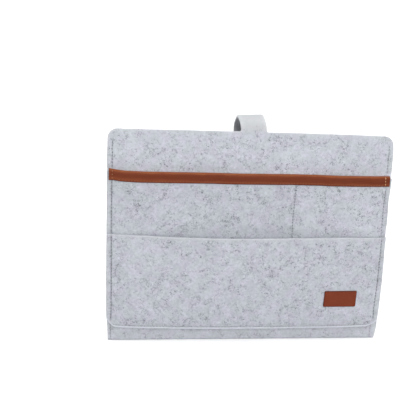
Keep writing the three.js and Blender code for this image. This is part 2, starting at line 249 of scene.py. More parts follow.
# ---- middle surfaces of the sheets ----
def upper_point(x, z):
    """The upper pocket sheet. Near its mouth it makes room for the binding's rear leg."""
    off = (LEATHER - 0.1) * smooth(1 - (BAND_BOTTOM - z) / BAND_RAMP)
    off = off - pressed(z) * FELT / 2
    left, right = crown(x, -SEAM_X, DIVIDER_X, LEFT), crown(x, DIVIDER_X, SEAM_X, RIGHT)
    opened = rise(z, HEM_Z + HEM_SEAM, UPPER_TOP)
    forward = opened * np.where(x < DIVIDER_X, left, right)
    mouth, hem_near = smooth((z - LOWER_TOP + 10) / 40), smooth((66 - z) / 44)
    wave = np.interp(x, *BAND_WAVE) * mouth - np.interp(x, *HEM_SAG) * hem_near
    height = z - LEAN * forward - pocket_bow(x, z) + wave
    return stack(x, -(FELT + GAP) - off - forward, height)


def lower_point(x, z):
    """The lower pocket sheet, which lies on the upper one and has a crown of its own."""
    point = upper_point(x, z)
    forward = rise(z, HEM_Z + HEM_SEAM, LOWER_TOP) * crown(x, -SEAM_X, SEAM_X, LOWER)
    point[:, 1] -= FELT * (1 - pressed(z)) + GAP + forward
    point[:, 2] += np.interp(x, *LOWER_WAVE) * smooth((z - 60) / 60) - LEAN * forward
    return point


def back_y(x, z):
    opened = rise(z, 2 * FOLD_RADIUS + SHOULDER_H, BACK_H)
    return FELT + GAP + opened * crown(x, -SEAM_X, SEAM_X, SLEEVE)


def cubic(a, b, c, d):
    """Points of a curve from a to d, without its last one."""
    t = np.linspace(0, 1, ROUTE_STEPS, endpoint=False)[:, None]
    a, b, c, d = (np.array(p, float) for p in (a, b, c, d))
    return a * (1 - t) ** 3 + 3 * b * t * (1 - t) ** 2 + 3 * c * t * t * (1 - t) + d * t ** 3


def strap_route():
    """The strap's middle line in depth and height, over the mouth and down, and the length walked
    at each point, at the loop's end and at the tail's."""
    root, apex = (0.0, PANEL_H), (LOOP_DEPTH / 2, PANEL_H + LOOP_RISE)
    rear = (LOOP_DEPTH, PANEL_H)
    end = (float(back_y(np.array(STRAP_X), np.array(TAIL_TOP))) + TAIL_OFF, TAIL_TOP)
    up, along = LOOP_HANDLE * LOOP_RISE, LOOP_HANDLE * LOOP_DEPTH / 2
    drop = DROP_HANDLE * (rear[1] - end[1])
    z = np.linspace(TAIL_TOP, TAIL_BOTTOM - 2, 40)
    line = join([
        cubic(root, (root[0], root[1] + up), (apex[0] - along, apex[1]), apex),
        cubic(apex, (apex[0] + along, apex[1]), (rear[0], rear[1] + up), rear),
        cubic(rear, (rear[0], rear[1] - drop), (end[0], end[1] + drop), end),
        np.stack([back_y(np.full_like(z, STRAP_X), z) + TAIL_OFF, z], axis=1),
    ])
    walked = walk(line)
    tail = slice(3 * ROUTE_STEPS, None)
    end_s = float(np.interp(-TAIL_BOTTOM, -line[tail, 1], walked[tail]))
    return line, walked, walked[2 * ROUTE_STEPS], end_s


ROUTE, WALKED, SPLIT_S, END_S = strap_route()


def strap_point(x, s):
    """A point of the strap, which leans and twists a little on its way over."""
    fade = 1 - smooth((s - SPLIT_S) / 36)
    lean = (smooth(s / 28) + 0.2 * smooth((s - 26) / 26)) * fade
    twist = STRAP_TWIST * smooth((s - 22) / 26) * fade
    off = x - STRAP_X
    depth, height = np.interp(s, WALKED, ROUTE[:, 0]), np.interp(s, WALKED, ROUTE[:, 1])
    return stack(STRAP_X + off * np.cos(twist) - lean, depth + off * np.sin(twist), height)


# ---- outlines of the cut sheets ----
def arc(cx, cy, radius, start, end, steps=8):
    angles = np.radians(np.linspace(start, end, steps))
    return [(cx + radius * cos(a), cy + radius * sin(a)) for a in angles]


def edge_run(zs, sign, strip=False):
    return [(sign * half_width(z, sign, strip), z) for z in zs]


def front_outline():
    """The front sheet and its tongue, as far as the rear of the strap's loop."""
    h, r, fillet = PANEL_H, TOP_RADIUS, 2.0
    right, left = half_width(h, 1), half_width(h, -1)
    rows = join([np.linspace(0, FOOT_H, 9), np.linspace(FOOT_H + 12, h - r - 6, 12)])
    points = edge_run(rows, 1, strip=True) + arc(right - r, h - r, r, 0, 90)
    points += arc(STRAP_HI + fillet, h + fillet, fillet, 270, 180, 5)
    points += [(STRAP_HI, h + SPLIT_S), (STRAP_LO, h + SPLIT_S)]
    points += arc(STRAP_LO - fillet, h + fillet, fillet, 0, -90, 5)
    return points + arc(r - left, h - r, r, 90, 180) + edge_run(rows[::-1], -1)


def corner_cut(sign, inset=0.0):
    """A pocket's lower corner, from its lower edge out to the side, in a slow curve."""
    reach, lift, power = CORNERS[sign]
    outer = half_width(HEM_Z + lift, sign)
    return [(sign * (outer - reach * (1 - t)), HEM_Z + inset + lift * t ** power)
            for t in np.linspace(0, 1 - inset * 2.0 / reach, 10)]


def hem(x):
    """Height of the pockets' cut lower edge."""
    height = np.full(np.shape(x), HEM_Z)
    for sign, (reach, lift, power) in CORNERS.items():
        outer = half_width(HEM_Z + lift, sign)
        height = height + lift * np.clip(1 - (outer - sign * x) / reach, 0.0, 1.0) ** power
    return height


def pocket_outline(top):
    right, left = (
        corner_cut(sign) + edge_run(np.linspace(HEM_Z + CORNERS[sign][1] + 3, top, 14), sign)
        for sign in (1, -1)
    )
    return right + left[::-1]


def back_outline():
    """The back sheet and its flap, by height above the fold and the flap's length below it."""
    top, r = BACK_H - FOLD_RADIUS - FELT / 2, TOP_RADIUS
    wide, narrow = half_width(BASE) - BACK_INSET, FLAP_W / 2
    end, far = -FOLD_RADIUS * pi / 2 - FLAP_L, FLAP_RADIUS
    shoulder = [
        (wide - (wide - narrow) * (1 - sqrt(1 - (1 - t) ** 2)), SHOULDER_H * t)
        for t in np.linspace(0, 1, 8)
    ]
    right = arc(narrow - far, end + far, far, -90, 0, 12) + shoulder
    left = [(-x, v) for x, v in right]
    rows = join([
        np.linspace(SHOULDER_H + 2, FOOT_H, 6), np.linspace(FOOT_H + 12, top - r - 4, 10),
    ])
    for points, sign in ((right, 1), (left, -1)):
        points += [(sign * (half_width(v + BASE, sign) - BACK_INSET), v) for v in rows]
        w = half_width(top + BASE, sign) - BACK_INSET - r
        points += [(sign * x, v) for x, v in arc(w, top - r, r, 0, 90)]
    return right + left[::-1]


def tail_outline():
    """The tongue's remainder. Its lengths count downwards, so that the joined end is on top."""
    r = TAIL_RADIUS
    low = arc(STRAP_LO + r, -END_S + r, r, 180, 270) + arc(STRAP_HI - r, -END_S + r, r, 270, 360)
    return low + [(STRAP_HI, -SPLIT_S), (STRAP_LO, -SPLIT_S)]


def patch_outline():
    c, s = cos(PATCH_TILT), sin(PATCH_TILT)
    x, z, r = PATCH_W / 2 - PATCH_RADIUS, PATCH_H / 2 - PATCH_RADIUS, PATCH_RADIUS
    points = []
    for sx, sz, start in ((1, -1, -90), (1, 1, 0), (-1, 1, 90), (-1, -1, 180)):
        points += arc(sx * x, sz * z, r, start, start + 90, 6)
    return [(PATCH_X + x * c - z * s, PATCH_Z + x * s + z * c) for x, z in points]


def tape_corners(inset=0.0):
    """Corners of either tape, or of the line of stitches inside its edge."""
    x, z = TAPE_W / 2 - inset, TAPE_L / 2 - inset
    middle = (TAIL_TOP + TAIL_BOTTOM) / 2
    return [(STRAP_X + a * x, middle + b * z) for a, b in ((-1, -1), (1, -1), (1, 1), (-1, 1))]


# ---- places of the cut sheets: from a point of the flat cut to one in space ----
def edge_fade(u, z, bottom):
    return smooth((SEAM_X - abs(u)) / 16) * smooth((z - bottom) / 18)


def front_place(u, v):
    lift = np.interp(u, *TOP_WAVE) * smooth((v - BAND_TOP) / (PANEL_H - BAND_TOP))
    even = smooth((v - 4) / 20)
    flat = stack(u, ripple(u, v, 3, 0.18) * even * smooth((PANEL_H - v) / 12), v + lift)
    run = np.maximum(0.0, v - PANEL_H)
    over = strap_point(u, run)
    tilt = 0.045 * (u - STRAP_X) * np.sin(pi * run / SPLIT_S) ** 2
    over[:, 2] += np.interp(u, *TOP_WAVE) * (1 - smooth(run / SPLIT_S)) + tilt
    return np.where((v > PANEL_H)[:, None], over, flat)


def upper_place(u, v):
    point = upper_point(u, v)
    off_divider = 1 - bell(u - DIVIDER_X, 9)
    point[:, 1] -= abs(ripple(u, v, 11, 0.22)) * edge_fade(u, v, HEM_Z) * off_divider
    return point


def lower_place(u, v):
    point = lower_point(u, v)
    point[:, 1] += ripple(u, v, 17, 0.25) * edge_fade(u, v, HEM_Z)
    return point


def back_place(u, v):
    z = np.maximum(0.0, v) + BASE
    upright = stack(u, back_y(u, z) + ripple(u, v, 23, 0.25) * edge_fade(u, z, BASE), z)
    turn = np.clip(-v / FOLD_RADIUS, 0, pi / 2)
    fold_y = FELT + GAP + FOLD_RADIUS * (1 - np.cos(turn))
    run = np.maximum(0.0, -v - FOLD_RADIUS * pi / 2)
    lying = stack(u, fold_y + run, BASE - FOLD_RADIUS * np.sin(turn))
    return np.where((v >= 0)[:, None], upright, lying)


def tail_place(u, v):
    return strap_point(u, -v)


def patch_place(u, v):
    point = lower_point(u, v)
    point[:, 1] -= FELT / 2 + GAP * 0.6 + LEATHER / 2
    return point


def tape_place(offset):
    return lambda u, v: stack(u, back_y(u, v) + offset, v)


def band_face(u, v):
    """The binding's outer face. v runs up the front leg and on over the fold."""
    reach = BAND_R + LEATHER / 2
    turn = np.maximum(0.0, v - UPPER_TOP) / reach
    point = upper_point(u, np.minimum(v, UPPER_TOP))
    point[:, 1] -= reach * np.cos(turn)
    point[:, 2] += reach * np.sin(turn)
    return point


# ---- seam lines ----
def side_seam(sign, low, high):
    drift = SEAM_DRIFT[sign]
    return [(sign * np.interp(z, *drift), z) for z in np.linspace(low, high, 30)]


def divider_seam(low, high):
    """The line between the upper pockets, with a small bend that the photograph shows."""
    return [(DIVIDER_X - 0.8 * bell(z - 152, 14), z) for z in np.linspace(low, high, 30)]


def bottom_seam():
    left, right = (corner_cut(sign, HEM_SEAM) for sign in (-1, 1))
    low = HEM_Z + HEM_SEAM
    across = np.linspace(left[0][0] + 4, right[0][0] - 4, 30)
    return left[::-1] + [(x, low) for x in across] + right


# ---- mesh making ----
def resample(points, spacing, closed=True):
    """The same line with a point at least every spacing, and none twice."""
    points = np.array(points, float)
    keep = np.linalg.norm(np.roll(points, -1, axis=0) - points, axis=1) > 1e-6
    points = points[keep]
    out = []
    count = len(points) if closed else len(points) - 1
    for k in range(count):
        a, b = points[k], points[(k + 1) % len(points)]
        steps = max(1, int(ceil(np.linalg.norm(b - a) / spacing)))
        out += [a + (b - a) * j / steps for j in range(steps)]
    return np.array(out)


def inset_loop(loop, distance):
    """A counter-clockwise loop, moved inwards along its corners' bisectors."""
    along = unit(loop - np.roll(loop, 1, axis=0)) + unit(np.roll(loop, -1, axis=0) - loop)
    inward = np.stack([-along[:, 1], along[:, 0]], axis=1)
    stretch = 1 / np.maximum(0.7, np.linalg.norm(inward, axis=1) / 2)
    return loop + unit(inward) * (distance * stretch)[:, None]


def inside(points, loop):
    x, y = points[:, :1], points[:, 1:]
    x0, y0 = loop.T[:, None]
    x1, y1 = np.roll(loop, -1, axis=0).T[:, None]
    crosses = (y0 > y) != (y1 > y)
    slope = np.where(y1 == y0, 1.0, y1 - y0)
    return (crosses & (x < (x1 - x0) * (y - y0) / slope + x0)).sum(axis=1) % 2 == 1


def distance_to(points, line, closed=False, skip=None):
    """Distance of points to a line. Stretches between two skipped points don't count."""
    line = np.array(line, float)
    ends = np.roll(line, -1, axis=0) if closed else line[1:]
    starts = line if closed else line[:-1]
    best = np.full(len(points), np.inf)
    for k, (a, b) in enumerate(zip(starts, ends)):
        if skip is not None and skip[k] and skip[(k + 1) % len(skip)]:
            continue
        d = b - a
        t = np.clip(((points - a) @ d) / max(1e-9, d @ d), 0, 1)
        best = np.minimum(best, np.linalg.norm(points - a - t[:, None] * d, axis=1))
    return best


def normals_of(place, uv, step=0.05):
    u, v = uv.T
    du = place(u + step, v) - place(u - step, v)
    dv = place(u, v + step) - place(u, v - step)
    return unit(np.cross(du, dv))


def make_mesh(name, points, polys, uvs=None):
    data = bpy.data.meshes.new(name)
    data.from_pydata((np.array(points) * MM).tolist(), [], polys)
    data.update()
    if uvs is not None:
        layer = data.uv_layers.new(name="cut")
        index = np.zeros(len(data.loops), np.int32)
        data.loops.foreach_get("vertex_index", index)
        layer.data.foreach_set("uv", (uvs[index] * MM).astype(np.float32).ravel())
    data.polygons.foreach_set("use_smooth", np.ones(len(data.polygons), bool))
    data.validate()
    return add_object(name, data)


def quads(near, far):
    """Faces between two rows of points, from each to the next."""
    return [[near[k], near[k + 1], far[k + 1], far[k]] for k in range(len(near) - 1)]


def ring(start, count):
    """Numbers of a closed row of points, the first once more at its end."""
    return [*range(start, start + count), start]


def note(obj, name, values):
    """Keeps a number for each point, which the material reads."""
    layer = obj.data.attributes.new(name, "FLOAT", "POINT")
    layer.data.foreach_set("value", np.asarray(values, np.float32))


def seam_points(line):
    """Rows of points along a seam, so that its groove has enough mesh."""
    path = resample(line, 1.2, closed=False)
    step = unit(np.gradient(path, axis=0))
    across = np.stack([-step[:, 1], step[:, 0]], axis=1)
    return join([path + across * d for d in (-1.9, -1.1, -0.5, 0.0, 0.5, 1.1, 1.9)])


def cut_loop(outline, edge_step, jitter, joined, rng):
    """An outline as a loop of even steps, cut a little unevenly. met marks the end that meets the
    next length of the tongue, and butt the points of it that have both neighbours there."""
    loop = resample(outline, edge_step)
    end = loop[:, 1].max()
    met = (loop[:, 1] > end - 1e-6) & joined
    butt = met & np.roll(met, 1) & np.roll(met, -1)
    if jitter:
        along = np.arange(len(loop))
        wobble = sum(np.sin(along / k + rng.uniform(0, 6)) for k in (3.1, 7.7, 17.0)) / 3
        loop = inset_loop(loop, jitter * (1 + wobble))
        loop[met, 1] = end
    return loop, met, butt, end


def filled(loop, seams, spacing, rng):
    """Triangles inside a loop, over a loose grid that is closer along the seams, and the number
    that each of the loop's points has among theirs."""
    lo, hi = loop.min(axis=0), loop.max(axis=0)
    us, vs = np.arange(lo[0], hi[0], spacing), np.arange(lo[1], hi[1], spacing * 0.866)
    grid = np.array([(u + (k % 2) * spacing / 2, v) for k, v in enumerate(vs) for u in us])
    grid += rng.uniform(-0.12, 0.12, grid.shape) * spacing
    for line in seams:
        grid = grid[distance_to(grid, line) > 3.0]
    grid = join([grid, *[seam_points(line) for line in seams]])
    grid = grid[inside(grid, loop)]
    grid = grid[distance_to(grid, loop, closed=True) > 0.45 * spacing]
    n = len(loop)
    flat = [Vector(p) for p in join([loop, grid])]
    edges = [(k, (k + 1) % n) for k in range(n)]
    verts, _, faces, ids, _, _ = delaunay_2d_cdt(flat, edges, [list(range(n))], 1, 1e-5)
    became = {original: k for k, source in enumerate(ids) for original in source if original < n}
    return np.array([tuple(v) for v in verts]), faces, [became[k] for k in range(n)]


def shell_polys(faces, loops, count):
    """Faces of a closed sheet of two layers, count points apart. loops run from the cut edge
    inwards. The faces of the cut edge itself come last."""
    near = [list(f) for f in faces]
    for outer, inner in zip(loops[:-1], loops[1:]):
        near += quads(outer, inner)
    far = [[count + k for k in reversed(f)] for f in near]
    middle = ring(2 * count, len(loops[0]) - 1)
    below = [count + k for k in loops[0]]
    return near + far + quads(middle, loops[0]) + quads(below, middle)


def sheet_mesh(name, outline, place, thickness, seed, spacing=3.0, rim=FELT_RIM, edge_step=1.5,
               margin=3.0, jitter=0.0, joined=False, sewn=(), sewn_face=0, thin=None, calm_and_painted_light=None,
               paint_wear_and_light=None, shaded=None):
    """A closed sheet from its flat outline. sewn lists seam lines, how dark each is (pressed felt
    and painted groove shade) and how deep. A joined sheet's top end is cut square, because it meets
    the next length of the same tongue. The other functions of the flat cut give a sheet its
    thinning, its pressed and painted paler strap, its wear with painted light, and the painted
    light and painted shade of each face."""
    rng = np.random.default_rng(seed)
    loop, met, butt, end = cut_loop(outline, edge_step, jitter, joined, rng)
    n = len(loop)
    rings = [inset_loop(loop, d) for d, _ in rim]
    core, faces, inner_ids = filled(rings[-1], [line for line, _, _ in sewn], spacing, rng)
    uv = join([core, *rings[:-1]])
    count = len(uv)
    share = join([
        np.full(len(core), rim[-1][1]), *[np.where(butt, 1.0, part) for _, part in rim[:-1]],
    ])
    if thin is not None:
        flatter = thin(uv[:, 1])
        share = (1 - (1 - share) * (1 - 2.6 * flatter)) * (1 - flatter)
    seam_darkening_and_shade, dented = np.zeros(count), np.zeros(count)
    # darker along each seam: pressed felt, and painted groove shade
    for line, pull, depth in sewn:
        away = distance_to(uv, line)
        dented = np.maximum(dented, depth * bell(away, DENT_W))
        seam_darkening_and_shade = np.maximum(seam_darkening_and_shade, pull * bell(away, DARK_W))
    at, out = place(*uv.T), normals_of(place, uv)
    halves = []
    for face, sign in ((0, 1.0), (1, -1.0)):
        lift = (thickness / 2 - (dented if face == sewn_face else 0.0)) * share
        halves.append(at + out * (sign * lift)[:, None])
    middle_uv = inset_loop(loop, -BULGE)
    middle_uv[met, 1] = end
    points = join([*halves, place(*middle_uv.T)])
    uvs = join([uv, uv + [0, REAR_V], middle_uv])
    loops = [ring(len(core) + n * k, n) for k in range(len(rings) - 1)]
    polys = shell_polys(faces, [*loops, inner_ids + inner_ids[:1]], count)
    obj = make_mesh(name, points, polys, uvs)
    for polygon in obj.data.polygons[len(polys) - 2 * n:]:
        middles = [q - 2 * count for q in polygon.vertices if q >= 2 * count]
        polygon.use_smooth = not all(butt[q] for q in middles)
    worn_and_painted_light = bell(distance_to(uv, loop, closed=True, skip=met), margin)
    if paint_wear_and_light is not None:
        worn_and_painted_light = paint_wear_and_light(*uv.T, worn_and_painted_light)
    # edge: worn margins, with painted light added on some sheets, and a paler middle of the cut
    # edge, partly worn and partly a painted highlight
    note(obj, "edge", join([worn_and_painted_light, worn_and_painted_light, np.where(butt, 0.0, RIM_WEAR_AND_HIGHLIGHT)]))
    shaded = shaded or {}
    # seam: darker seams, partly painted groove shade, and each face's painted light and painted
    # shade
    dark = [seam_darkening_and_shade + (shaded[face](*uv.T) if face in shaded else 0.0) for face in (0, 1)]
    note(obj, "seam", join([*dark, np.zeros(n)]))
    if calm_and_painted_light is not None:
        quiet = calm_and_painted_light(*uv.T)
        note(obj, "calm_and_painted_light", join([quiet, quiet, calm_and_painted_light(*loop.T)]))
    return obj


def band_section():
    """The binding's cross-section, up in front, over the edge and down behind: heights on the
    pocket sheet, turns about its edge, and the length walked along the leather."""
    front_z = np.linspace(BAND_BOTTOM, UPPER_TOP, 9)
    turn = np.linspace(0, pi, 15)
    rear_z = np.linspace(UPPER_TOP, BAND_BOTTOM + 0.8, 9)
    heights = join([front_z[:-1], np.full(len(turn), UPPER_TOP), rear_z[1:]])
    turns = join([np.zeros(8), turn, np.full(8, pi)])
    steps = np.where(np.diff(turns) == 0, abs(np.diff(heights)), BAND_R * np.diff(turns))
    return heights, turns, join([[0.0], np.cumsum(steps)])


def band_mesh():
    """The folded binding: a cross-section of the leather strip, carried along the pocket's edge."""
    zs, turns, run = band_section()
    rows, inner_v = len(zs), 400
    xs = join([
        [BAND_LOW_X], np.linspace(BAND_LOW_X + 0.5, BAND_HIGH_X - 0.5, 220), [BAND_HIGH_X],
    ])
    xs = np.unique(join([xs, np.linspace(DIVIDER_X - 4, DIVIDER_X + 4, 9)]))
    # a soft pillow between the pressed lower edge and the fold, with a shallow valley
    share = (zs - BAND_BOTTOM) / (UPPER_TOP - BAND_BOTTOM)
    pillow = 0.45 * np.sin(np.clip(share, 0, 1) * pi) ** 0.7 - 0.28 * bell(share - 0.62, 0.12)
    pillow = np.where(turns == 0.0, pillow, 0.0)
    phases = np.random.default_rng(8).uniform(0, 6, 4)
    wobble = 0.025 * sum(np.sin(xs / k + p) for k, p in zip((9, 17, 31, 5), phases))
    points, uvs = [], []
    for layer, sign in ((0, 1.0), (1, -1.0)):
        for j in range(rows):
            lift = BAND_R + sign * LEATHER / 2 + (pillow[j] if layer == 0 else 0.0)
            out = np.array([0.0, -cos(turns[j]), sin(turns[j])])
            at = upper_point(xs, np.full_like(xs, zs[j])) + out * lift
            if turns[j] == 0.0:
                at[:, 2] += wobble
            curl = sin(turns[j]) if turns[j] else float(share[j]) ** 2 * 0.5
            at[:, 2] += 0.9 * curl * bell(xs - BAND_LOW_X, 2.6)
            if j in (0, rows - 1):  # the cut edges are rounded
                at -= out * (0.35 * sign)
            points.append(at)
            uvs.append(np.stack([xs, np.full_like(xs, run[j] + layer * inner_v)], axis=1))
    points, uvs = join(points), join(uvs)
    across = len(xs)
    layer_size = across * rows
    ids = np.arange(layer_size).reshape(rows, across).tolist()
    outer = [quad for near, far in zip(ids[:-1], ids[1:]) for quad in quads(near, far)]
    inner = [[layer_size + q for q in (a, d, c, b)] for a, b, c, d in outer]
    low_end, high_end = [row[0] for row in ids], [row[-1] for row in ids]
    rim = ids[0] + high_end[1:] + ids[-1][-2::-1] + low_end[-2::-1]
    polys = outer + inner + [[a, layer_size + a, layer_size + b, b] for a, b in zip(rim, rim[1:])]
    obj = make_mesh("pocket_band_leather", points, polys, uvs)
    ends = bell(np.minimum(uvs[:, 0] - BAND_LOW_X, BAND_HIGH_X - uvs[:, 0]), 0.9)
    walked = uvs[:, 1] % inner_v
    cut = bell(np.minimum(walked, abs(walked - run[-1])), 0.55)
    note(obj, "edge", np.maximum(ends * 0.8, cut))
    return obj


def stitches(name, path, place, offset, material, seed, length=2.6, pitch=3.7, radius=0.37,
             side=1.0, jitter=0.12):
    """A row of sewn stitches over a sheet's face, each a short thread whose ends dive into it."""
    rings, sides, sink = 7, 6, 0.25
    rng = np.random.default_rng(seed)
    line = resample(path, 0.25, closed=False)
    walked = walk(line)
    ts = np.linspace(0, 1, rings)
    arch = np.sin(ts * pi)
    lift = offset - sink + (sink + radius * 0.75) * arch ** 0.55 - radius * 0.6
    thick = radius * (0.55 + 0.45 * arch ** 0.4)
    round_it = [(cos(a), sin(a)) for a in (2 * pi * j / sides for j in range(sides))]
    points, polys = [], []
    start = pitch * 0.3
    while start + length < walked[-1]:
        s = start + ts * (length * rng.uniform(0.94, 1.05))
        uv = np.stack([np.interp(s, walked, line[:, 0]), np.interp(s, walked, line[:, 1])], axis=1)
        uv += rng.normal(0, jitter, 2)
        at, out = place(*uv.T), normals_of(place, uv) * side
        middle = at + out * lift[:, None]
        run = unit(np.gradient(middle, axis=0))
        across = np.cross(run, out)
        up = np.cross(across, run)
        base = len(points)
        for k in range(rings):
            points += [middle[k] + thick[k] * (c * across[k] + s * up[k]) for c, s in round_it]
        loops = [ring(base + k * sides, sides) for k in range(rings)]
        for near, far in zip(loops[:-1], loops[1:]):
            polys += quads(near, far)
        polys += [loops[0][-2::-1], loops[-1][:-1]]
        start += pitch * rng.uniform(0.97, 1.03)
    obj = make_mesh(name, points, polys)
    obj.data.materials.append(material)
    return obj


# ---- materials ----
class Nodes:
    """A material with one shader, and short ways to add nodes to it."""

    def __init__(self, name):
        self.material = bpy.data.materials.new(name)
        self.material.use_nodes = True
        self.tree = self.material.node_tree
        self.tree.nodes.clear()
        self.shader = self.add("BsdfPrincipled")
        self.put(self.add("OutputMaterial").inputs[0], self.shader.outputs[0])

    def add(self, kind, **values):
        node = self.tree.nodes.new("ShaderNode" + kind)
        for key, value in values.items():
            setattr(node, key, value)
        return node

    def put(self, socket, value):
        """Links a socket to another one, or sets it."""
        if isinstance(value, bpy.types.NodeSocket):
            self.tree.links.new(value, socket)
        else:
            socket.default_value = value

    def feed(self, node, **values):
        """Puts values in a node's inputs, which are named with _ for a space."""
        for key, value in values.items():
            self.put(node.inputs[key.replace("_", " ")], value)

    def shaded(self, **values):
        self.feed(self.shader, **values)
        return self.material

    def math(self, operation, a, b=0.0):
        node = self.add("Math", operation=operation)
        self.put(node.inputs[0], a)
        self.put(node.inputs[1], b)
        return node.outputs[0]

    times, plus = partialmethod(math, "MULTIPLY"), partialmethod(math, "ADD")
    minus, size = partialmethod(math, "SUBTRACT"), partialmethod(math, "ABSOLUTE")
    least, most = partialmethod(math, "MINIMUM"), partialmethod(math, "MAXIMUM")

    def toned(self, shade, mask, amount):
        """A shade made lighter by amount where mask is 1, or darker where amount is below 0."""
        return self.times(shade, self.plus(1.0, self.times(mask, amount)))

    def ramp(self, value, low, high, to_low=0.0, to_high=1.0):
        node = self.add("MapRange", interpolation_type="SMOOTHSTEP")
        for socket, given in zip(node.inputs, (value, low, high, to_low, to_high)):
            self.put(socket, given)
        return node.outputs[0]

    def stripe(self, value, low, high):
        """1 between two ramps, one that goes up and one that goes down."""
        return self.times(self.ramp(value, *low), self.ramp(value, *high, 1.0, 0.0))

    def noise(self, vector, scale, detail=2.0, rough=0.5, distortion=0.0):
        node = self.add("TexNoise", noise_dimensions="3D")
        self.feed(node, Vector=vector, Scale=scale, Detail=detail, Roughness=rough,
                  Distortion=distortion)
        return node.outputs[0]

    def flat_cut(self):
        return self.add("UVMap", uv_map="cut").outputs[0]

    def moved(self, vector, location=(0, 0, 0), rotation=(0, 0, 0), scale=(1, 1, 1)):
        node = self.add("Mapping")
        self.feed(node, Vector=vector, Location=location, Rotation=rotation, Scale=scale)
        return node.outputs[0]

    def mix(self, share, a, b, kind="MIX"):
        node = self.add("Mix", data_type="RGBA", blend_type=kind)
        self.put(node.inputs[0], share)
        for socket, color in ((node.inputs[6], a), (node.inputs[7], b)):
            self.put(socket, (*color, 1.0) if isinstance(color, tuple) else color)
        return node.outputs[2]

    def kept(self, name):
        return self.add("Attribute", attribute_name=name).outputs["Fac"]

    def bump(self, height, strength, distance, normal=None):
        node = self.add("Bump")
        self.feed(node, Height=height, Strength=strength, Distance=distance)
        if normal is not None:
            self.feed(node, Normal=normal)
        return node.outputs[0]


FELT_TINT, PRESSED_TINT = (0.382, 0.396, 0.436), (0.332, 0.340, 0.352)
# Each sheet's mottling lies elsewhere, and each has its own tone, partly painted light: the front
# sheet is paler than the pocket sheets, which lose light as they tilt.
FELTS = {
    "front": ((0.11, 0.37, 0.0), 1.045), "upper": ((0.83, 0.21, 0.3), 0.955),
    "lower": ((0.47, 0.93, 0.6), 0.970), "back": ((0.29, 0.65, 0.9), 0.970),
}
# The felt threads grey, pale and light stand for one light grey thread, painted darker for the
# shade in their sunken stitches, grey the darkest.
THREADS = {
    "grey": (0.105, 0.11, 0.125), "pale": (0.20, 0.205, 0.225), "light": (0.27, 0.277, 0.30),
    "tan": (0.62, 0.36, 0.19), "rust": (0.27, 0.105, 0.045), "brown": (0.235, 0.070, 0.026),
}


def scaled(color, *factors):
    return tuple(c * f for c, f in zip(color, factors * (3 // len(factors))))


def strokes(n, at, scale, width, bend, breaks, clusters):
    """Thin wiggly fibres: contour lines of a noise, broken up and kept in clusters."""
    lines = n.size(n.minus(n.noise(at, scale, 1.0, 0.5, bend), 0.5))
    thin = n.ramp(lines, width * 0.35, width, 1.0, 0.0)
    broken = n.ramp(n.noise(at, breaks[0], 1.0), breaks[1], breaks[1] + 0.08)
    gathered = n.ramp(n.noise(at, clusters[0], 2.0, 0.6), clusters[1], clusters[2])
    return n.times(n.times(thin, broken), gathered)


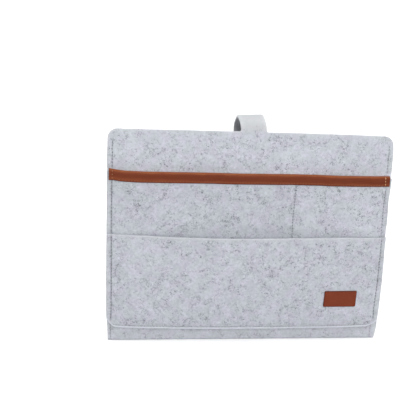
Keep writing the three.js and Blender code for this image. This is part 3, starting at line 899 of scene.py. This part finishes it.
def felt_material(name, shift, tone):
    """Heathered felt. It reads edge (worn margins, with painted highlights on cut edges and painted
    light), a strap mask (the smoother strap, painted paler) and seam (darker seams partly painted
    groove shade, with painted light and painted shade).
    """
    n = Nodes(name)
    uv, edge, calm_and_painted_light = n.flat_cut(), n.kept("edge"), n.kept("calm_and_painted_light")
    at = n.moved(uv, location=shift)
    turned = n.moved(uv, location=(shift[1], shift[0], 2.0), rotation=(0, 0, 0.9))
    shade = n.ramp(n.noise(at, 300, 4.0, 0.65), 0.30, 0.70, 0.91, 1.07)
    shade = n.times(shade, n.ramp(n.noise(turned, 85, 3.0, 0.6), 0.35, 0.65, 0.955, 1.04))
    shade = n.times(shade, n.ramp(n.noise(at, 22, 1.0), 0.3, 0.7, 0.98, 1.02))
    dark = strokes(n, at, 270, 0.046, 1.7, (230, 0.47), (58, 0.43, 0.60))
    dark_small = strokes(n, turned, 560, 0.085, 1.8, (430, 0.48), (105, 0.45, 0.63))
    bright = strokes(n, turned, 380, 0.055, 1.6, (300, 0.50), (85, 0.38, 0.60))
    for fibres, amount in ((dark_small, -0.46), (bright, 0.18), (dark, -0.60)):
        shade = n.toned(shade, fibres, amount)
    # pressed margins and the smoother strap show fewer fibres and a paler tone, on the strap partly
    # painted light
    margin = n.least(n.times(edge, 0.45), 0.7)
    hushed = n.most(margin, n.times(n.least(calm_and_painted_light, 1.15), 0.70))
    shade = n.plus(n.times(shade, n.minus(1.0, hushed)), n.times(hushed, 0.985))
    # painted highlight on the strap's cut rims, for the light that they catch
    strap_rim_painted_highlight = n.times(n.ramp(edge, 1.02, 1.14), n.least(calm_and_painted_light, 1.0))
    # worn margins with painted highlights, painted light on the strap, and darker seams with
    # painted light and painted shade
    tones = ((edge, 0.11), (calm_and_painted_light, 0.10), (strap_rim_painted_highlight, 0.42), (n.kept("seam"), -0.30))
    for mask, amount in tones:
        shade = n.toned(shade, mask, amount)
    tint, grey = scaled(FELT_TINT, tone), scaled(PRESSED_TINT, tone)
    green, lilac = scaled(tint, 0.985, 1.012, 0.985), scaled(tint, 1.02, 0.99, 1.02)
    color = n.mix(n.ramp(n.noise(at, 75, 2.0), 0.38, 0.62), green, lilac)
    greyed = n.times(n.times(edge, 0.5), n.ramp(edge, 1.35, 2.0, 1.0, 0.0))
    color = n.mix(n.most(calm_and_painted_light, greyed), color, grey)
    fine = n.plus(n.noise(at, 480, 3.0, 0.7, 1.0), n.times(n.noise(at, 1500, 2.0, 0.7, 2.5), 0.5))
    fuzz = n.bump(n.minus(fine, n.times(dark, 0.35)), 0.5, 0.0005)
    return n.shaded(
        Base_Color=n.mix(1.0, color, shade, "MULTIPLY"), Roughness=0.96, Specular_IOR_Level=0.12,
        Sheen_Weight=0.12, Sheen_Roughness=0.5, Sheen_Tint=(0.95, 0.97, 1.0, 1.0),
        Normal=n.bump(n.noise(at, 95, 2.0), 0.45, 0.0008, fuzz),
    )


def leather_finish(n, uv, base, streaked, gloss, edge_shade):
    """Dyed, lightly finished leather: fine pores, faint scuffs and a darker dyed cut edge, which on
    the binding is partly painted shade under its lower edge.
    """
    base = n.mix(n.ramp(n.noise(uv, 420, 4.0, 0.7), 0.45, 0.80, 0.0, 0.30), base, edge_shade)
    base = n.mix(n.ramp(n.kept("edge"), 0.35, 0.95, 0.0, 0.75), base, edge_shade)
    rough = n.ramp(n.noise(uv, 240, 2.0), 0.3, 0.7, gloss - 0.05, gloss + 0.12)
    cells = n.add("TexVoronoi", feature="DISTANCE_TO_EDGE")
    n.feed(cells, Vector=uv, Scale=1500)
    grain = n.bump(n.ramp(cells.outputs[0], 0.0, 0.12), 0.3, 0.00012)
    creased = n.bump(n.noise(streaked, 140, 2.0), 0.35, 0.0003, grain)
    return n.shaded(Base_Color=base, Roughness=rough, Specular_IOR_Level=0.14, Normal=creased)


def band_material():
    """The folded strip has painted highlights along its fold, partly rubbed wear, and along its
    stitching, and painted shade in the valley between.
    """
    n = Nodes("band_leather")
    uv = n.flat_cut()
    axes = n.add("SeparateXYZ")
    n.put(axes.inputs[0], uv)
    run = n.times(axes.outputs[1], 1000.0)  # in mm up from the lower edge
    bends = n.noise(n.moved(uv, scale=(1.0, 0.1, 1.0)), 40, 2.0)
    wavy = n.plus(run, n.ramp(bends, 0.2, 0.8, -0.7, 0.7))
    streaked = n.moved(uv, scale=(0.08, 1.6, 1.0))
    streaks = n.ramp(n.noise(streaked, 60, 3.0, 0.6), 0.35, 0.68)
    base = n.mix(streaks, (0.113, 0.0215, 0.0056), (0.150, 0.031, 0.0083))
    # painted highlight on the fold, painted shade in the valley, painted highlight on the stitched
    # line
    for low, high, amount, color in (
        ((9.8, 11.0), (15.0, 18.0), 0.85, (0.215, 0.061, 0.019)),  # the fold
        ((3.4, 5.0), (8.0, 9.4), 0.5, (0.095, 0.0170, 0.0046)),  # the valley below it
        ((0.9, 1.9), (2.3, 3.6), 0.70, (0.165, 0.042, 0.014)),  # the stitched line
    ):
        base = n.mix(n.times(n.stripe(wavy, low, high), amount), base, color)
    return leather_finish(n, uv, base, streaked, 0.40, (0.062, 0.014, 0.006))


def patch_material():
    n = Nodes("patch_leather")
    uv = n.flat_cut()
    clouds = n.ramp(n.noise(uv, 70, 3.0, 0.6), 0.35, 0.68)
    base = n.mix(clouds, (0.133, 0.0230, 0.0070), (0.142, 0.0262, 0.0084))
    return leather_finish(n, uv, base, uv, 0.50, (0.068, 0.015, 0.007))


def thread_material(name, color):
    n = Nodes(name)
    twist = n.add("TexWave", wave_type="BANDS", bands_direction="DIAGONAL")
    n.feed(twist, Vector=n.add("TexCoord").outputs["Object"], Scale=900)
    ply = twist.outputs[1]
    base = n.mix(n.ramp(ply, 0.2, 0.8), scaled(color, 0.72), color)
    return n.shaded(Base_Color=base, Roughness=0.7, Normal=n.bump(ply, 0.5, 0.0002))


def tape_material(name, color, scale, depth):
    n = Nodes(name)
    weave = n.noise(n.flat_cut(), scale, 2.0, 0.6, 1.5)
    base = n.mix(n.ramp(weave, 0.35, 0.65), scaled(color, 0.7), color)
    woven = n.bump(weave, 0.7, depth)
    return n.shaded(Base_Color=base, Roughness=0.85, Sheen_Weight=0.2, Normal=woven)


felt = {word: felt_material(f"felt_{word}", *looks) for word, looks in FELTS.items()}
band_leather = band_material()
patch_leather = patch_material()
thread = {word: thread_material(f"thread_{word}", color) for word, color in THREADS.items()}
loop_face = tape_material("loop_tape_face", (0.42, 0.44, 0.48), 1700, 0.0005)
hook_face = tape_material("hook_tape_face", (0.40, 0.42, 0.46), 2600, 0.0004)


# ---- the sheets ----
def dress(obj, body, material, slot, *nodes):
    """Gives a piece its material, puts it under its body and hides the parts that it stands for.
    Blended pieces have no single body.
    """
    obj.data.materials.append(material)
    if body is not None:
        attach(obj, body)
    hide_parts(*nodes)


def painted_light_above_mouth(v, mouth, width):
    """Painted light: felt made paler just above a pocket's mouth, which offsets the shade that
    falls there.
    """
    return -1.4 * bell(v - mouth, width)


def strap_calm_and_painted_light(run):
    """The strap is pressed smoother than the sheet it is cut with, and painted paler, most over its
    arch, where light from above falls.
    """
    start, arch = smooth((run + 3) / 7), smooth((run - 4) / 12) * (1 - smooth((run - 34) / 24))
    return start * (1 + arch) - 0.6 * smooth((run - SPLIT_S) / 60)


def strap_inside_painted_shade(run):
    """Painted shade on the strap's inner face, which lies in the shade of its loop."""
    return 0.7 * smooth((run - 6) / 10) * (1 - smooth((run - SPLIT_S - 10) / 30))


def front_wear_and_painted_light(u, v, worn_and_painted_light):
    """The front sheet's worn margins, with painted light on the strip under the pockets, which
    offsets the shade under their lower edges, and painted shade along the very bottom, where it
    meets the floor.
    """
    strip = 0.5 * smooth((HEM_Z + 5 - v) / 6)
    return np.maximum(worn_and_painted_light, strip) - 1.7 * smooth((2.4 - v) / 1.6)


def lower_wear_and_painted_light(u, v, worn_and_painted_light):
    """The lower pocket's hem and mouth are its palest parts: pressed, worn felt, and painted light
    for the light the rounded hem loses and as a highlight along the mouth's cut edge.
    """
    at_hem, at_mouth = smooth((hem(u) + 4.4 - v) / 2.4), smooth((v - LOWER_TOP + 2) / 1.5)
    return worn_and_painted_light * (1 + 1.8 * at_hem + 0.8 * at_mouth)


def upper_painted_light(u, v):
    """Painted light above the lower mouth, offsetting the shade there, most where that stands open.
    Painted light right of the divider, where more light falls.
    """
    opened = 0.25 + 0.75 * crown(u, -SEAM_X, SEAM_X, (1, *LOWER[1:]))
    return painted_light_above_mouth(v, LOWER_TOP - 1.8, 2.9) * opened - 0.17 * smooth((u - DIVIDER_X) / 6)


# The front sheet: painted light above the binding, and painted shade on the strap's inner face.
front = sheet_mesh(
    "front_sheet", front_outline(), front_place, THICK, seed=2, jitter=0.12, joined=True,
    sewn=[(side_seam(-1, 1, 239), 0.5, 0.8), (side_seam(1, 1, 243), 0.12, 0.8)],
    calm_and_painted_light=lambda u, v: strap_calm_and_painted_light(v - PANEL_H), paint_wear_and_light=front_wear_and_painted_light,
    shaded={0: lambda u, v: painted_light_above_mouth(v, BAND_TOP - 1.3, 2.6),
            1: lambda u, v: strap_inside_painted_shade(v - PANEL_H)},
)
dress(front, None, felt["front"], "felt", "front_panel", "strap_loop")
upper = sheet_mesh(
    "upper_pocket_sheet", pocket_outline(UPPER_TOP), upper_place, THICK, seed=3, jitter=0.15,
    sewn=[(side_seam(-1, SEAM_START, UPPER_TOP), 1.0, 0.7),
          (side_seam(1, SEAM_START, UPPER_TOP), 0.4, 0.7),
          (divider_seam(HEM_Z + HEM_SEAM, UPPER_TOP), 0.22, 0.7)],
    thin=pressed, shaded={0: upper_painted_light},
)
dress(upper, "caddy", felt["upper"], "felt", "upper_pocket")
lower = sheet_mesh(
    "lower_pocket_sheet", pocket_outline(LOWER_TOP), lower_place, THICK, seed=4, jitter=0.15,
    sewn=[(side_seam(-1, SEAM_START, LOWER_TOP), 1.0, 0.8),
          (side_seam(1, SEAM_START, LOWER_TOP), 0.6, 0.8),
          (bottom_seam(), 0.08, 0.3)],
    thin=pressed, paint_wear_and_light=lower_wear_and_painted_light,
)
dress(lower, "caddy", felt["lower"], "felt", "lower_pocket")
back_seams = [[(x, z - BASE) for x, z in side_seam(sign, 12, 239)] for sign, _ in SIDES]
back = sheet_mesh(
    "back_sheet", back_outline(), back_place, THICK, seed=5, jitter=0.15,
    sewn=[(line, 0.5, 0.8) for line in back_seams], sewn_face=1,
)
dress(back, None, felt["back"], "felt", "back_panel", "mattress_flap")
tail = sheet_mesh(
    "strap_end_sheet", tail_outline(), tail_place, THICK, seed=6, jitter=0.05, joined=True,
    spacing=2.4, calm_and_painted_light=lambda u, v: strap_calm_and_painted_light(-v), shaded={0: lambda u, v: strap_inside_painted_shade(-v)},
)
dress(tail, None, felt["front"], "felt", "strap_tail")

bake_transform(front)
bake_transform(back)
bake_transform(tail)

band = band_mesh()
dress(band, "caddy", band_leather, "band_leather", "pocket_band")
patch = sheet_mesh("leather_patch_piece", patch_outline(), patch_place, LEATHER, seed=7,
                   spacing=1.6, rim=LEATHER_RIM, edge_step=0.8, margin=1.1)
dress(patch, "caddy", patch_leather, "patch_leather", "leather_patch")


def tape_piece(name, offset, seed):
    return sheet_mesh(name, tape_corners(), tape_place(offset), TAPE, seed=seed, spacing=1.5,
                      rim=LEATHER_RIM, edge_step=1.0)


loops = tape_piece("loop_tape_piece", LOOP_OFF, 8)
dress(loops, "caddy", loop_face, "tape", "loop_tape")
hooks = tape_piece("hook_tape_piece", HOOK_OFF, 9)
dress(hooks, "strap_end", hook_face, "tape", "hook_tape")


# ---- stitching ----
FELT_FACE = THICK / 2 - 0.62  # stitches pull themselves in this deep


def sew(name, path, place, offset=FELT_FACE, color="grey", body="caddy", **more):
    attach(stitches(name, path, place, offset, thread[color], **more), body)


def frame_path(height):
    """The closed line of stitches that holds a tape. height turns z into the sheet's own v."""
    corners = tape_corners(2.2)
    return [(u, height(v)) for u, v in corners + corners[:1]]


STRIP_RADIUS, TOP_ROW_RADIUS = {-1: 0.35, 1: 0.25}, {-1: 0.37, 1: 0.34}
# The left top row gets the darker painted thread.
TOP_ROW_THREAD = {-1: "grey", 1: "pale"}
for sign, word in SIDES:
    sew(f"seam_{word}_strip", side_seam(sign, 2, HEM_Z + 2), front_place, color="pale",
        radius=STRIP_RADIUS[sign], seed=21 + sign)
    sew(f"seam_{word}_top", side_seam(sign, BAND_TOP + 1, 240 + 2 * sign), front_place,
        color=TOP_ROW_THREAD[sign], radius=TOP_ROW_RADIUS[sign], seed=31 + sign)
    sew(f"seam_{word}_upper", side_seam(sign, LOWER_TOP + 1, BAND_BOTTOM - 1), upper_place,
        seed=41 + sign)
    sew(f"seam_{word}_lower", side_seam(sign, SEAM_START, LOWER_TOP - 1), lower_place,
        seed=51 + sign)
for (_, word), line, seed in zip(SIDES, back_seams, (52, 65)):
    sew(f"seam_{word}_back", line[1:-1], back_place, side=-1.0, seed=seed)

for sign, word, low_x, high_x, color in (
    (-1, "left", -160.9, -161.0, "rust"), (1, "right", 157.4, 156.3, "tan"),
):
    rows = zip(np.linspace(low_x, high_x, 10), np.linspace(BAND_BOTTOM + 0.6, UPPER_TOP + 4.2, 10))
    sew(f"band_{word}_stitches", list(rows), band_face, 0.45, color, length=2.1,
        radius=0.45, jitter=0.04, seed=91 + sign)
band_row = [(x, BAND_BOTTOM + 1.9) for x in np.linspace(4 - SEAM_X, SEAM_X - 4, 60)]
sew("band_row_stitches", band_row, band_face, 0.32, "brown", length=2.5, pitch=3.4, radius=0.24,
    seed=95)
for word, offset, body, facing, seed in (
    ("loop", LOOP_OFF, "caddy", -1.0, 61), ("hook", HOOK_OFF, "strap_end", 1.0, 62),
):
    sew(f"{word}_tape_stitches", frame_path(lambda v: v), tape_place(offset), TAPE / 2 - 0.12,
        "pale", body, side=facing, length=2.2, pitch=3.0, radius=0.22, seed=seed)
sew("tail_stitches", frame_path(lambda v: v - TAIL_BOTTOM - END_S), tail_place, THICK / 2,
    body="strap_end", side=-1.0, length=2.5, pitch=3.4, radius=0.32, seed=63)
sew("seam_divider", divider_seam(LOWER_TOP - 8, BAND_BOTTOM - 1), upper_place, length=2.4,
    pitch=3.6, radius=0.36, seed=71)
sew("seam_bottom", bottom_seam(), lower_place, THICK / 2 - 0.28, "light", radius=0.28, seed=81)


# ---- the front's area and the back's outline points ----
def shoelace(points):
    """Area inside an outline, in square metres."""
    p = np.array(points, float)
    q = np.roll(p, -1, axis=0)
    return abs((p[:, 0] * q[:, 1] - q[:, 0] * p[:, 1]).sum()) / 2 * MM * MM


shoelace(front_outline())
back_points = np.array(back_outline())


# ---- floor and light ----
def make_stage():
    """A round floor whose far rim turns up into a pale wall."""
    flat, bend, high, sides = 6000.0, 1600.0, 2600.0, 96
    rows = [(flat * k / 4, 0.0) for k in range(1, 5)]
    rows += [(flat + bend * sin(a), bend * (1 - cos(a)))
             for a in np.linspace(0, pi / 2, 14)[1:]]
    rows += [(flat + bend, high)]
    turns = [2 * pi * k / sides for k in range(sides)]
    points = [(0.0, 0.0, 0.0)]
    points += [(r * cos(a), r * sin(a), height) for r, height in rows for a in turns]
    loops = [ring(1 + sides * j, sides) for j in range(len(rows))]
    polys = [(0, k, m) for k, m in zip(loops[0], loops[0][1:])]
    for near, far in zip(loops[:-1], loops[1:]):
        polys += quads(far, near)
    floor = make_mesh("floor", points, polys)
    white = Nodes("floor_white").shaded(
        Base_Color=(0.92, 0.92, 0.92, 1.0), Roughness=0.9, Specular_IOR_Level=0.1)
    floor.data.materials.append(white)


def soft_sun(name, elevation, azimuth, angle, amount):
    """A very wide far light. amount is what it adds to a white surface that faces it."""
    data = bpy.data.lights.new(name, "SUN")
    data.energy = amount * pi
    data.angle = radians(angle)
    obj = add_object(name, data)
    e, a = radians(elevation), radians(azimuth)
    toward = Vector((cos(e) * sin(a), -cos(e) * cos(a), sin(e)))
    obj.rotation_euler = (-toward).to_track_quat("-Z", "Y").to_euler()


def make_light():
    scene = bpy.context.scene
    scene.world = bpy.data.worlds.new("studio")
    scene.world.use_nodes = True
    background = scene.world.node_tree.nodes["Background"]
    background.inputs["Color"].default_value = (1.0, 1.0, 1.0, 1.0)
    background.inputs["Strength"].default_value = 0.28
    soft_sun("front_light", elevation=22, azimuth=4, angle=60, amount=0.83)
    soft_sun("top_light", elevation=86, azimuth=0, angle=70, amount=0.92)
    scene.view_settings.view_transform = "Standard"
    scene.view_settings.look = "None"


place_camera()
make_stage()
make_light()
